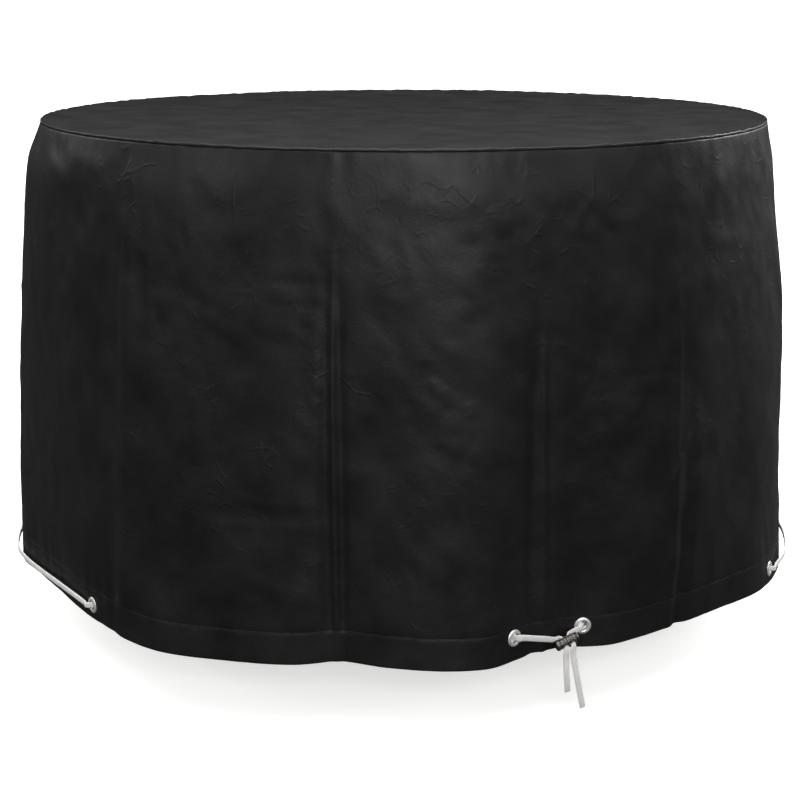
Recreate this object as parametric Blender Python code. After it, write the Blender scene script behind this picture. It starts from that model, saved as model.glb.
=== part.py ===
"""A round cover for a patio table, in thin tarpaulin, with eyelets, a drawcord and its lock.

Metres, +Z up. The origin is the middle of the top panel's underside, where a table top would
carry it. The front faces -Y. Azimuths are degrees from the front, positive towards +X, and a
depth is a distance below the origin.
"""

import math

import bmesh
import bpy
from mathutils import Matrix, Vector

# Cloth
CLOTH = 0.0012  # thickness of one layer
HEM_CLOTH = 0.0024  # the hem is turned up, so it has two layers
HEM_DEPTH = 0.045
SEAM_DEPTH = 0.0028  # the rim seam lies this far below the top
SEAM_ALLOWANCE = 0.009  # both pieces turn inwards here
SHADOW_GAP = 0.0003  # between pieces that touch
RIM_ROUNDING = 0.0022

# Depths at which the sections below give a radius; the hem has its own column
SHOULDER_DEPTH = 0.070
WAIST_DEPTH = 0.300
SKIRT_DEPTH = 0.560

# The wall's main lobes and hollows, all the way round
SECTIONS = (
    # azimuth, rim, shoulder, waist, skirt, hem radius, hem depth
    (-170, 0.563, 0.574, 0.584, 0.590, 0.591, 0.694),
    (-154, 0.563, 0.577, 0.597, 0.612, 0.619, 0.697),
    (-138, 0.564, 0.576, 0.589, 0.595, 0.594, 0.694),
    (-122, 0.567, 0.582, 0.601, 0.614, 0.618, 0.697),
    (-106, 0.570, 0.588, 0.604, 0.609, 0.603, 0.692),
    (-92, 0.571, 0.592, 0.610, 0.620, 0.618, 0.690),
    (-78, 0.571, 0.593, 0.614, 0.627, 0.629, 0.692),
    (-68, 0.569, 0.588, 0.606, 0.615, 0.610, 0.690),
    (-58, 0.567, 0.584, 0.601, 0.610, 0.606, 0.690),
    (-46, 0.566, 0.582, 0.604, 0.620, 0.619, 0.692),
    (-34, 0.565, 0.580, 0.605, 0.624, 0.637, 0.695),
    (-24, 0.564, 0.577, 0.599, 0.614, 0.623, 0.695),
    (-15, 0.564, 0.575, 0.591, 0.600, 0.606, 0.695),
    (-9, 0.564, 0.573, 0.583, 0.584, 0.583, 0.694),
    (-3, 0.564, 0.573, 0.584, 0.590, 0.597, 0.695),
    (5, 0.564, 0.575, 0.590, 0.600, 0.609, 0.696),
    (10.5, 0.564, 0.575, 0.589, 0.600, 0.607, 0.696),
    (14.5, 0.563, 0.573, 0.581, 0.584, 0.587, 0.695),
    (18.5, 0.563, 0.571, 0.574, 0.570, 0.569, 0.694),
    (22.5, 0.563, 0.571, 0.575, 0.570, 0.5600, 0.6960),
    (28.5, 0.563, 0.571, 0.578, 0.577, 0.5790, 0.6965),
    (34, 0.562, 0.571, 0.583, 0.586, 0.580, 0.6960),
    (42, 0.562, 0.571, 0.586, 0.588, 0.579, 0.695),
    (52, 0.561, 0.570, 0.585, 0.588, 0.587, 0.695),
    (62, 0.560, 0.568, 0.590, 0.601, 0.607, 0.695),
    (76, 0.560, 0.569, 0.596, 0.603, 0.611, 0.697),
    (90, 0.561, 0.572, 0.592, 0.600, 0.605, 0.696),
    (106, 0.562, 0.574, 0.588, 0.592, 0.590, 0.694),
    (122, 0.562, 0.576, 0.596, 0.609, 0.614, 0.697),
    (138, 0.562, 0.577, 0.600, 0.617, 0.624, 0.698),
    (154, 0.563, 0.575, 0.588, 0.596, 0.598, 0.694),
    (172, 0.563, 0.576, 0.594, 0.608, 0.613, 0.697),
)

# Narrow creases and pleats that run down the wall, each fading in below the rim
FOLDS = (
    # azimuth, half width, height, depth where it starts, depth of full height, wander, share in hem
    (-42.2, 1.20, -0.0026, 0.08, 0.20, 0.4, 0.4),
    (-39.7, 1.70, 0.0046, 0.06, 0.18, 0.4, 0.4),
    (-10.7, 0.75, -0.0036, 0.10, 0.34, 0.2, 0.3),
    (-9.75, 0.40, 0.0024, 0.10, 0.34, 0.2, 0.3),
    (-8.85, 0.65, -0.0036, 0.10, 0.34, 0.2, 0.3),
    (17.2, 0.85, -0.0036, 0.20, 0.36, -0.4, 1.0),
    (18.7, 0.50, 0.0028, 0.20, 0.36, -0.4, 1.0),
    (20.1, 1.50, 0.0022, 0.20, 0.40, -0.4, 0.6),
    (39.9, 0.90, 0.0030, 0.15, 0.35, 0.4, 0.6),
    (42.2, 1.10, -0.0060, 0.25, 0.60, 0.4, 1.0),
    (88.0, 1.50, -0.0045, 0.10, 0.30, 0.8, 1.0),
    (131.0, 1.50, -0.0050, 0.12, 0.35, 0.8, 1.0),
    (-158.0, 1.50, -0.0050, 0.10, 0.30, 0.8, 1.0),
    (-114.0, 1.40, -0.0045, 0.12, 0.34, 0.8, 1.0),
)
WANDER_LENGTH = 0.9  # a crease drifts sideways over this length
HEM_FADE = (0.062, 0.038)  # heights above the hem's edge between which the doubled cloth flattens a crease

# The wall's rows: shares of the way from the seam to the hem's upper edge
ROW_SHARES = (0.04, 0.10, 0.18, 0.28, 0.39, 0.50, 0.61, 0.72, 0.83, 0.92)
HEM_STEP = 0.0015  # over this height the cloth goes from one layer to two
EYELET_ROW = 0.009  # the hem's last row above its edge
COLUMN_STEP = 4.8  # degrees between the wall's columns away from creases
CLOSEST_COLUMNS = 0.30
FOLD_COLUMNS = (-1.8, -0.8, 0.0, 0.8, 1.8)  # in half widths of the crease

# Top panel
TOP_RINGS = (0.16, 0.32, 0.44, 0.515, 0.548)
TOP_COLUMNS = 60
TOP_RIPPLE = 0.0016
RIM_PROFILE = (
    # inset from the rim, depth below the top face
    (RIM_ROUNDING, 0.0),
    (0.3 * RIM_ROUNDING, 0.3 * RIM_ROUNDING),
    (0.0, RIM_ROUNDING),
    (0.0, SEAM_DEPTH + CLOTH),
    (SEAM_ALLOWANCE, SEAM_DEPTH + CLOTH),
)

# Eyelets: outer radius and bore follow a 24 mm pressed ring with a 13 mm hole
EYELETS = (
    # azimuth, height above the hem's edge
    (14.25, 0.0333),
    (25.25, 0.0318),
    (66.2, 0.0220),
    (115.5, 0.0260),
    (164.8, 0.0260),
    (-145.8, 0.0260),
    (-96.5, 0.0260),
    (-47.6, 0.0215),
)
EYELET_RADIUS = 0.0118
EYELET_BORE = 0.0067
EYELET_BARREL = 0.0074
EYELET_HOLE = 0.0079  # the hole cut in the cloth
EYELET_HALF_CELL = 1.45  # degrees: the cloth is flat this far to each side
EYELET_SIDES = 14
FLANGE_CROWN = 0.0020  # how far the front flange stands up
WASHER_CROWN = 0.0014
CUTTER_LENGTH = 0.030

# Cord lock: a barrel with one flanged end and two holes across it
LOCK_CENTRE = Vector((0.2196, -0.5367, -0.6791))
LOCK_TILT = 18.0  # its right end is higher
LOCK_TURN = 21.6  # it lies along the line between the two front eyelets
LOCK_LENGTH = 0.033
LOCK_RADIUS = 0.0068
LOCK_FLANGE = 0.0078
LOCK_HOLE_RADIUS = 0.0040
LOCK_HOLE_OFFSET = 0.0055  # of each hole from the middle
LOCK_HOLE_SLANT = 45.0  # the holes run from the back's upper side to the front's lower side
LOCK_FLANGE_LENGTH = 0.0032
LOCK_SIDES = 16

# Drawcord
CORD_RADIUS = 0.0027
CORD_POINTS = 88
CURVE_STEPS = 12  # between two of the route's own points
TURN_WEIGHT = 0.14  # metres of straight cord that take as many points as one radian of bend

# How the cord passes an eyelet from the outside to the inside
CROSSING = (
    # along the wall, off its outer face
    (-0.0170, 0.0052),
    (-0.0085, 0.0076),
    (-0.0038, 0.0060),
    (0.0000, -0.0012),
    (0.0038, -0.0086),
    (0.0085, -0.0106),
    (0.0170, -0.0085),
)

# The stretches between the eyelets
STRETCHES = (
    # azimuth, off the wall's outer face, height above the hem's edge
    (35.0, -0.0160, 0.024),
    (46.0, -0.0220, 0.021),
    (57.0, -0.0160, 0.020),
    (74.0, 0.0105, 0.026),
    (84.0, 0.0095, 0.029),
    (94.0, 0.0090, 0.030),
    (106.0, 0.0080, 0.028),
    (125.0, -0.0200, 0.022),
    (140.0, -0.0300, 0.020),
    (155.0, -0.0180, 0.023),
    (174.0, 0.0085, 0.023),
    (184.0, 0.0085, 0.019),
    (195.0, 0.0085, 0.019),
    (205.0, 0.0095, 0.023),
    (224.0, -0.0180, 0.023),
    (239.0, -0.0250, 0.020),
    (254.0, -0.0180, 0.023),
    (273.0, 0.0085, 0.024),
    (282.0, 0.0070, 0.019),
    (288.0, 0.0065, 0.014),
    (296.0, 0.0065, 0.016),
    (304.0, 0.0070, 0.021),
    (322.0, -0.0220, 0.022),
    (337.0, -0.0380, 0.020),
    (351.0, -0.0300, 0.022),
    (364.0, -0.0240, 0.028),
)

# The cord on its way into the lock: along the barrel, out from the cloth, up across the barrel
LEFT_LEAD = ((-0.0400, 0.0010, 0.0240), (-0.0180, -0.0065, 0.0105), (-0.0095, -0.0085, 0.0088))
RIGHT_LEAD = ((0.0085, -0.0088, 0.0090), (0.0150, -0.0088, 0.0080))
THROUGH_HOLE = 0.0100  # the cord is straight this far before and after the barrel's middle

# The two ends that hang below it, as world points from the lock down
LEFT_TAIL = ((0.2183, -0.5435, -0.7050), (0.2203, -0.5425, -0.7290), (0.2221, -0.5395, -0.7537))
RIGHT_TAIL = ((0.2310, -0.5390, -0.7020), (0.2367, -0.5365, -0.7380), (0.2445, -0.5310, -0.7808))


def smoothed(places, values, x):
    """The value at x on a smooth curve through (places, values)."""
    last = len(places) - 1
    i = next((k for k in range(last) if x <= places[k + 1]), last - 1)
    span = places[i + 1] - places[i]
    t = min(max((x - places[i]) / span, 0.0), 1.0)

    def slope(k):
        before, after = max(k - 1, 0), min(k + 1, last)
        return (values[after] - values[before]) / (places[after] - places[before])

    rise = values[i + 1] - values[i]
    a = slope(i) * span - rise
    b = rise - slope(i + 1) * span
    return values[i] + t * rise + t * (1 - t) * ((1 - t) * a + t * b)


def eased(start, end, x):
    t = min(max((x - start) / (end - start), 0.0), 1.0)
    return t * t * (3 - 2 * t)


def turn_between(a, b):
    """Degrees from b to a, from -180 to 180."""
    return (a - b + 180) % 360 - 180


def around_section(azimuth):
    """The section's sizes at this azimuth, read smoothly between the rows."""
    rows = [(row[0] - 360, *row[1:]) for row in SECTIONS[-2:]]
    rows += SECTIONS
    rows += [(row[0] + 360, *row[1:]) for row in SECTIONS[:2]]
    places = [row[0] for row in rows]
    x = turn_between(azimuth, 0)
    return [smoothed(places, [row[k] for row in rows], x) for k in range(1, 7)]


def rim_radius(azimuth):
    return around_section(azimuth)[0]


def hem_depth(azimuth):
    return around_section(azimuth)[5]


def wall_radius(azimuth, depth):
    """The outer face's radius: the section's smooth fall and the creases on it."""
    rim, shoulder, waist, skirt, hem, lowest = around_section(azimuth)
    places = (SEAM_DEPTH, SHOULDER_DEPTH, WAIST_DEPTH, SKIRT_DEPTH, lowest)
    radius = smoothed(places, (rim, shoulder, waist, skirt, hem), depth)
    in_hem = eased(lowest - HEM_FADE[0], lowest - HEM_FADE[1], depth)
    for middle, half_width, height, start, full, wander, kept in FOLDS:
        drift = wander * math.sin(2 * math.pi * depth / WANDER_LENGTH + middle)
        share = turn_between(azimuth, middle + drift) / half_width
        strength = eased(start, full, depth) * (1 - (1 - kept) * in_hem)
        radius += height * strength * math.exp(-share * share)
    return radius


def place(azimuth, radius, z):
    turn = math.radians(azimuth)
    return Vector((radius * math.sin(turn), -radius * math.cos(turn), z))


def on_wall(azimuth, above_hem):
    """A point on the wall's outer face, this far above the hem's edge."""
    depth = hem_depth(azimuth) - above_hem
    return place(azimuth, wall_radius(azimuth, depth), -depth)


def off_wall(azimuth, off, above_hem):
    """A point this far off the wall's outer face, or inside it if negative."""
    step, rise = EYELET_HALF_CELL, EYELET_RADIUS
    along = on_wall(azimuth + step, above_hem) - on_wall(azimuth - step, above_hem)
    up = on_wall(azimuth, above_hem + rise) - on_wall(azimuth, above_hem - rise)
    return on_wall(azimuth, above_hem) + off * along.cross(up).normalized()


def material(name, colour, roughness, metallic=0.0):
    made = bpy.data.materials.new(name)
    made.use_nodes = True
    shader = made.node_tree.nodes["Principled BSDF"]
    shader.inputs["Base Color"].default_value = (*colour, 1.0)
    shader.inputs["Roughness"].default_value = roughness
    shader.inputs["Metallic"].default_value = metallic
    return made


def add_mesh(name, shape, finish):
    """An object from a bmesh, shaded smooth but for its sharp edges."""
    mesh = bpy.data.meshes.new(name)
    shape.to_mesh(mesh)
    shape.free()
    mesh.shade_smooth()
    mesh.set_sharp_from_angle(angle=math.radians(40))
    obj = bpy.data.objects.new(name, mesh)
    obj.data.materials.append(finish)
    bpy.context.scene.collection.objects.link(obj)
    return obj


def skin(shape, rows):
    """Faces between closed rows of points that run the same way, and each row's vertices."""
    rings = [[shape.verts.new(point) for point in row] for row in rows]
    for upper, lower in zip(rings, rings[1:]):
        for i in range(len(upper)):
            shape.faces.new((upper[i - 1], lower[i - 1], lower[i], upper[i]))
    return rings


def top_height(x, y):
    """The top lies nearly flat, with shallow dips between its creases."""
    ripple = math.sin(9.0 * x + 1.3 * y) * math.sin(7.0 * y - 2.2 * x + 0.6)
    return TOP_RIPPLE * ripple * min(math.hypot(x, y) / TOP_RINGS[0], 1.0)


def add_top_panel(finish):
    """One disc of cloth, turned down over the rim and inwards again at the seam."""
    azimuths = [360 * i / TOP_COLUMNS for i in range(TOP_COLUMNS)]
    rows = []
    for radius in TOP_RINGS:
        ring = [place(azimuth, radius, CLOTH) for azimuth in azimuths]
        for point in ring:
            point.z += top_height(point.x, point.y)
        rows.append(ring)
    for inset, depth in RIM_PROFILE:
        rows.append([place(a, rim_radius(a) - inset, CLOTH - depth) for a in azimuths])
    shape = bmesh.new()
    inner = skin(shape, rows)[0]
    hub = shape.verts.new((0, 0, CLOTH))
    for i in range(len(inner)):
        shape.faces.new((inner[i - 1], inner[i], hub))
    add_thickness(add_mesh("top_panel", shape, finish), CLOTH)


def add_thickness(obj, thickness, group=None, thinnest=1.0):
    """Gives a sheet its thickness, inwards from the face that shows."""
    solid = obj.modifiers.new("thickness", "SOLIDIFY")
    solid.thickness = thickness
    solid.offset = -1
    solid.use_even_offset = True
    if group:
        solid.vertex_group = group
        solid.thickness_vertex_group = thinnest


def wall_columns():
    """Azimuths of the wall's columns: two at each eyelet, five at each crease, even ones between."""
    eyelets = [azimuth for azimuth, _ in EYELETS]
    kept = [azimuth + side * EYELET_HALF_CELL for azimuth in eyelets for side in (-1, 1)]

    def keep(azimuth, spacing):
        from_eyelet = min(abs(turn_between(azimuth, eyelet)) for eyelet in eyelets)
        from_column = min(abs(turn_between(azimuth, column)) for column in kept)
        if from_eyelet > EYELET_HALF_CELL + CLOSEST_COLUMNS and from_column >= spacing:
            kept.append(azimuth)

    for middle, half_width, *_ in FOLDS:
        for share in FOLD_COLUMNS:
            keep(middle + share * half_width, CLOSEST_COLUMNS)
    for i in range(round(360 / COLUMN_STEP)):
        keep(-180 + COLUMN_STEP * i, COLUMN_STEP / 2.6)
    return sorted(turn_between(azimuth, 0) for azimuth in kept)


def add_side_wall(finish):
    """The wall as one tube of cloth, with its inward seam allowance and its doubled hem."""
    columns = wall_columns()
    top_z = -SEAM_DEPTH - SHADOW_GAP
    rows = [[place(a, rim_radius(a) - inset, top_z) for a in columns] for inset in (SEAM_ALLOWANCE, 0)]
    for share in ROW_SHARES:
        row = []
        for azimuth in columns:
            above = HEM_DEPTH + (1 - share) * (hem_depth(azimuth) - HEM_DEPTH - SEAM_DEPTH)
            row.append(on_wall(azimuth, above))
        rows.append(row)
    first_hem_row = len(rows) + 1
    for above in (HEM_DEPTH + HEM_STEP, HEM_DEPTH, EYELET_ROW, 0.0):
        rows.append([on_wall(azimuth, above) for azimuth in columns])
    cells = flatten_eyelet_cells(*rows[first_hem_row : first_hem_row + 2], columns)
    shape = bmesh.new()
    skin(shape, rows)
    obj = add_mesh("side_wall", shape, finish)
    hem = obj.vertex_groups.new(name="hem")
    hem_corners = range(first_hem_row * len(columns), len(rows) * len(columns))
    hem.add(list(hem_corners), 1.0, "REPLACE")
    add_thickness(obj, HEM_CLOTH, hem.name, CLOTH / HEM_CLOTH)
    return obj, cells


def flatten_eyelet_cells(upper, lower, columns):
    """Moves the four corners round each eyelet onto one plane, and returns the eyelets' frames."""
    cells = []
    for azimuth, above in EYELETS:
        right = next(k for k, column in enumerate(columns) if column > azimuth)
        left = right - 1
        corners = [upper[left], upper[right], lower[right], lower[left]]
        middle = sum(corners, Vector()) / len(corners)
        normal = (corners[1] - corners[3]).cross(corners[0] - corners[2]).normalized()
        for corner in corners:
            corner -= normal * (corner - middle).dot(normal)
        up = normal.cross(upper[right] - upper[left]).normalized()
        lift = above - (HEM_DEPTH + EYELET_ROW) / 2
        cells.append((middle + lift * up, normal, up))
    return cells


def facing(position, normal, up):
    """A matrix whose Z is the normal and whose Y points up the cloth."""
    turn = Matrix((up.cross(normal), up, normal)).transposed()
    return Matrix.Translation(position) @ turn.to_4x4()


def turned_shape(profile, sides):
    """A closed profile of (radius, height) turned round Z."""
    shape = bmesh.new()
    corners = [shape.verts.new((radius, 0, height)) for radius, height in profile]
    edges = [shape.edges.new((corners[i - 1], corners[i])) for i in range(len(corners))]
    bmesh.ops.spin(
        shape,
        geom=edges + corners,
        cent=(0, 0, 0),
        axis=(0, 0, 1),
        angle=2 * math.pi,
        steps=sides,
        use_merge=True,
    )
    bmesh.ops.remove_doubles(shape, verts=shape.verts, dist=1e-6)
    bmesh.ops.recalc_face_normals(shape, faces=shape.faces)
    return shape


def eyelet_shape():
    """A pressed eyelet: a crowned front flange, a barrel, and the washer it is rolled over."""
    front = SHADOW_GAP
    back = -HEM_CLOTH - SHADOW_GAP
    washer = EYELET_RADIUS - 0.0010
    profile = (
        (EYELET_BORE, back - 0.7 * WASHER_CROWN),
        (EYELET_BORE, front + 0.5 * FLANGE_CROWN),
        (EYELET_BORE + 0.0012, front + FLANGE_CROWN),
        (EYELET_RADIUS - 0.0022, front + 0.95 * FLANGE_CROWN),
        (EYELET_RADIUS, front + 0.3 * FLANGE_CROWN),
        (EYELET_RADIUS - 0.0003, front),
        (EYELET_BARREL, front),
        (EYELET_BARREL, back),
        (washer, back),
        (washer - 0.0004, back - 0.6 * WASHER_CROWN),
        (EYELET_BARREL + 0.0010, back - WASHER_CROWN),
    )
    return turned_shape(profile, EYELET_SIDES)


def hole_cutter(name, radius, matrix):
    shape = bmesh.new()
    bmesh.ops.create_cone(
        shape,
        cap_ends=True,
        segments=EYELET_SIDES,
        radius1=radius,
        radius2=radius,
        depth=CUTTER_LENGTH,
    )
    mesh = bpy.data.meshes.new(name)
    shape.to_mesh(mesh)
    shape.free()
    obj = bpy.data.objects.new(name, mesh)
    obj.hide_render = True
    obj.display_type = "WIRE"
    obj.matrix_world = matrix
    bpy.context.scene.collection.objects.link(obj)
    return obj


def cut(obj, cutter):
    hole = obj.modifiers.new(cutter.name, "BOOLEAN")
    hole.operation = "DIFFERENCE"
    hole.solver = "EXACT"
    hole.object = cutter


def add_eyelets(wall, cells, finish):
    """Eyelets share one mesh, and each has its own hole in the cloth."""
    mesh = add_mesh("eyelet_1", eyelet_shape(), finish).data
    for number, cell in enumerate(cells, 1):
        eyelet = bpy.data.objects.get(f"eyelet_{number}")
        if not eyelet:
            eyelet = bpy.data.objects.new(f"eyelet_{number}", mesh)
            bpy.context.scene.collection.objects.link(eyelet)
        eyelet.matrix_world = facing(*cell)
        cut(wall, hole_cutter(f"hole for eyelet {number}", EYELET_HOLE, eyelet.matrix_world))


def lock_matrix():
    """The lock's frame: X along the barrel, Y into the cloth, Z up across the barrel."""
    turn = Matrix.Rotation(math.radians(LOCK_TURN), 4, "Z")
    tilt = Matrix.Rotation(math.radians(-LOCK_TILT), 4, "Y")
    return Matrix.Translation(LOCK_CENTRE) @ turn @ tilt


def lock_hole(side):
    """The frame of one of the lock's holes, with Z up along it."""
    slant = Matrix.Rotation(math.radians(-LOCK_HOLE_SLANT), 4, "X")
    return lock_matrix() @ Matrix.Translation((side * LOCK_HOLE_OFFSET, 0, 0)) @ slant


def add_cord_lock(finish):
    half = LOCK_LENGTH / 2
    rounding = 0.3 * LOCK_RADIUS
    profile = (
        (0.0, -half),
        (LOCK_FLANGE - 0.0012, -half),
        (LOCK_FLANGE, -half + 0.0012),
        (LOCK_FLANGE, -half + LOCK_FLANGE_LENGTH),
        (LOCK_RADIUS, -half + LOCK_FLANGE_LENGTH + 0.0008),
        (LOCK_RADIUS, half - rounding),
        (LOCK_RADIUS - rounding, half),
        (0.0, half),
    )
    shape = turned_shape(profile, LOCK_SIDES)
    bmesh.ops.rotate(shape, verts=shape.verts, matrix=Matrix.Rotation(math.pi / 2, 3, "Y"))
    obj = add_mesh("cord_lock", shape, finish)
    obj.matrix_world = lock_matrix()
    for side in (-1, 1):
        cut(obj, hole_cutter(f"cord hole {side}", LOCK_HOLE_RADIUS, lock_hole(side)))


def crossing(cell, into):
    """The cord's points through an eyelet, from outside to inside, or back with into = -1."""
    position, normal, up = cell
    along = up.cross(normal)
    return [position + along * (into * s) + normal * off for s, off in CROSSING][::into]


def at_lock(points):
    return [lock_matrix() @ Vector((along, -out, up)) for along, out, up in points]


def through_lock(side):
    """The cord's points down one of the lock's holes."""
    return [lock_hole(side) @ Vector((0, 0, along)) for along in (THROUGH_HOLE, 0, -THROUGH_HOLE)]


def stretch(start, end):
    """The cord's points between two eyelets."""
    return [off_wall(*row) for row in STRETCHES if start < row[0] < end]


def drawcord_route(cells):
    """The cord's own points: tail, lock, in and out through the eyelets, lock, tail."""
    right = at_lock(RIGHT_LEAD[::-1]) + through_lock(1) + [Vector(point) for point in RIGHT_TAIL]
    left = at_lock(LEFT_LEAD) + through_lock(-1) + [Vector(point) for point in LEFT_TAIL]
    points = right[::-1]
    points += crossing(cells[1], 1)[1:]
    points += stretch(EYELETS[1][0], EYELETS[2][0])
    into = -1
    azimuths = [azimuth % 360 for azimuth, _ in EYELETS[2:]] + [EYELETS[0][0] + 360]
    for start, end, cell in zip(azimuths, azimuths[1:], cells[2:]):
        points += crossing(cell, into) + stretch(start, end)
        into = -into
    return points + crossing(cells[0], -1)[:-1] + left


def curve_through(points):
    """Close points on a smooth curve through the route's own points."""
    reach = [0.0]
    for a, b in zip(points, points[1:]):
        reach.append(reach[-1] + math.sqrt((b - a).length))
    dense = []
    for k in range(len(points) - 1):
        for step in range(CURVE_STEPS):
            x = reach[k] + (reach[k + 1] - reach[k]) * step / CURVE_STEPS
            dense.append(Vector([smoothed(reach, axis, x) for axis in zip(*points)]))
    return dense + [points[-1]]


def thinned(dense, count):
    """Points spread along the curve, closer together where it bends."""
    weight = [0.0]
    for i in range(1, len(dense)):
        ahead = dense[min(i + 1, len(dense) - 1)] - dense[i]
        behind = dense[i] - dense[i - 1]
        bend = behind.angle(ahead, 0.0)
        weight.append(weight[-1] + behind.length + TURN_WEIGHT * bend)
    kept, i = [], 0
    for k in range(count):
        while weight[i] < weight[-1] * k / (count - 1) - 1e-9:
            i += 1
        kept.append(dense[i])
    return kept


def add_drawcord(cells, finish):
    points = thinned(curve_through(drawcord_route(cells)), CORD_POINTS)
    curve = bpy.data.curves.new("drawcord", "CURVE")
    curve.dimensions = "3D"
    curve.bevel_depth = CORD_RADIUS
    curve.bevel_resolution = 2
    curve.use_fill_caps = True
    spline = curve.splines.new("POLY")
    spline.points.add(len(points) - 1)
    for target, point in zip(spline.points, points):
        target.co = (*point, 1.0)
    curve.materials.append(finish)
    bpy.context.scene.collection.objects.link(bpy.data.objects.new("drawcord", curve))


def main():
    for obj in list(bpy.data.objects):
        bpy.data.objects.remove(obj, do_unlink=True)
    tarpaulin = material("black tarpaulin", (0.010, 0.011, 0.011), 0.38)
    add_top_panel(tarpaulin)
    wall, cells = add_side_wall(tarpaulin)
    add_eyelets(wall, cells, material("nickel eyelet", (0.75, 0.75, 0.74), 0.22, 1.0))
    add_cord_lock(material("gunmetal lock", (0.09, 0.085, 0.085), 0.35, 0.8))
    add_drawcord(cells, material("white braid", (0.78, 0.78, 0.76), 0.75))


main()
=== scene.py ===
# Looks of a round patio furniture cover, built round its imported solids
import math

import bmesh
import bpy
import numpy as np
from mathutils import Matrix, Vector


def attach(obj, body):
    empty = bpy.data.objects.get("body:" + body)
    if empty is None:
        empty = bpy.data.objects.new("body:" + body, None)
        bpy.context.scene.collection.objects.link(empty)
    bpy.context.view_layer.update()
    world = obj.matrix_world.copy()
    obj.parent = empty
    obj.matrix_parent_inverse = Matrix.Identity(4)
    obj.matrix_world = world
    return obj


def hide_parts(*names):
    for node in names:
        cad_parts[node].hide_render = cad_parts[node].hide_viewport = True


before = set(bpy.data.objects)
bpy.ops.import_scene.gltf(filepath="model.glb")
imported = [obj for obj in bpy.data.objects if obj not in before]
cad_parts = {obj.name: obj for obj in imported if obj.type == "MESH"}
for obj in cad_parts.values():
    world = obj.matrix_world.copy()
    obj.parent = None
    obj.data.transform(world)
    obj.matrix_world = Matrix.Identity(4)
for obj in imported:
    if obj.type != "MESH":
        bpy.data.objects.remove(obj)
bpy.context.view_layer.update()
bpy.ops.object.select_all(action="DESELECT")
print("frame loaded:", len(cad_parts), "nodes")


# Camera at the photograph's angle

cameraSetup = {
    "place": (-0.0114, -2.88, 0.2305),
    "pitchDown": 13.59,  # degrees
    "sensor": 36.0,
    "lens": 81.07,
    "seesTo": 120.0,
}


def addCamera():
    bpy.ops.object.camera_add(
        location=cameraSetup["place"],
        rotation=(math.radians(90 - cameraSetup["pitchDown"]), 0, 0),
    )
    camera = bpy.context.object
    camera.name = "camera"
    camera.data.sensor_width = cameraSetup["sensor"]
    camera.data.lens = cameraSetup["lens"]
    camera.data.clip_end = cameraSetup["seesTo"]
    bpy.context.scene.camera = camera
    print("camera in place")


addCamera()


# Nodes and colours

def linearColour(hexText):
    parts = [int(hexText[i : i + 2], 16) / 255 for i in (1, 3, 5)]
    return [c / 12.92 if c <= 0.04045 else ((c + 0.055) / 1.055) ** 2.4 for c in parts] + [1.0]


def addNode(tree, kind, settings):
    # a socket given as a value is linked, anything else is set on the input or on the node
    node = tree.nodes.new("ShaderNode" + kind)
    for key, value in settings.items():
        if isinstance(value, bpy.types.NodeSocket):
            tree.links.new(value, node.inputs[key])
        elif isinstance(key, int) or key in node.inputs:
            node.inputs[key].default_value = value
        else:
            setattr(node, key, value)
    return node


def maths(tree, operation, first, second=0.0):
    return addNode(tree, "Math", {"operation": operation, 0: first, 1: second}).outputs[0]


def mapped(tree, value, fromLow, fromHigh, toLow, toHigh, curve="LINEAR"):
    settings = {"interpolation_type": curve, 0: value, 1: fromLow, 2: fromHigh, 3: toLow, 4: toHigh}
    return addNode(tree, "MapRange", settings).outputs[0]


def mixed(tree, share, first, second, blend="MIX"):
    settings = {"data_type": "RGBA", "blend_type": blend, 0: share, 6: first, 7: second}
    return addNode(tree, "Mix", settings).outputs[2]


def objectPlace(tree):
    return addNode(tree, "TexCoord", {}).outputs["Object"]


def noise(tree, spot, scale, detail, roughness=0.5, kind="FBM", output="Fac"):
    settings = {"noise_type": kind, "Vector": spot, "Scale": scale, "Detail": detail, "Roughness": roughness}
    return addNode(tree, "TexNoise", settings).outputs[output]


def bumped(tree, *layers):
    # strength, distance and height of each layer, the first one undermost
    normal = {}
    for strength, distance, height in layers:
        settings = {"Strength": strength, "Distance": distance, "Height": height}
        normal = {"Normal": addNode(tree, "Bump", {**settings, **normal}).outputs[0]}
    return normal["Normal"]


def startMaterial(name, constants):
    material = bpy.data.materials.new(name)
    material.use_nodes = True
    shader = material.node_tree.nodes["Principled BSDF"]
    for key, value in constants.items():
        shader.inputs[key].default_value = value
    return material, material.node_tree, shader.inputs


def plug(tree, inputs, outputs):
    for key, output in outputs.items():
        tree.links.new(output, inputs[key])


def addPiece(name, mesh, material):
    mesh.materials.append(material)
    piece = bpy.data.objects.new(name, mesh)
    bpy.context.scene.collection.objects.link(piece)
    return piece


# Where things are on the cover: azimuth in degrees from the front, depth below the top

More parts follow.
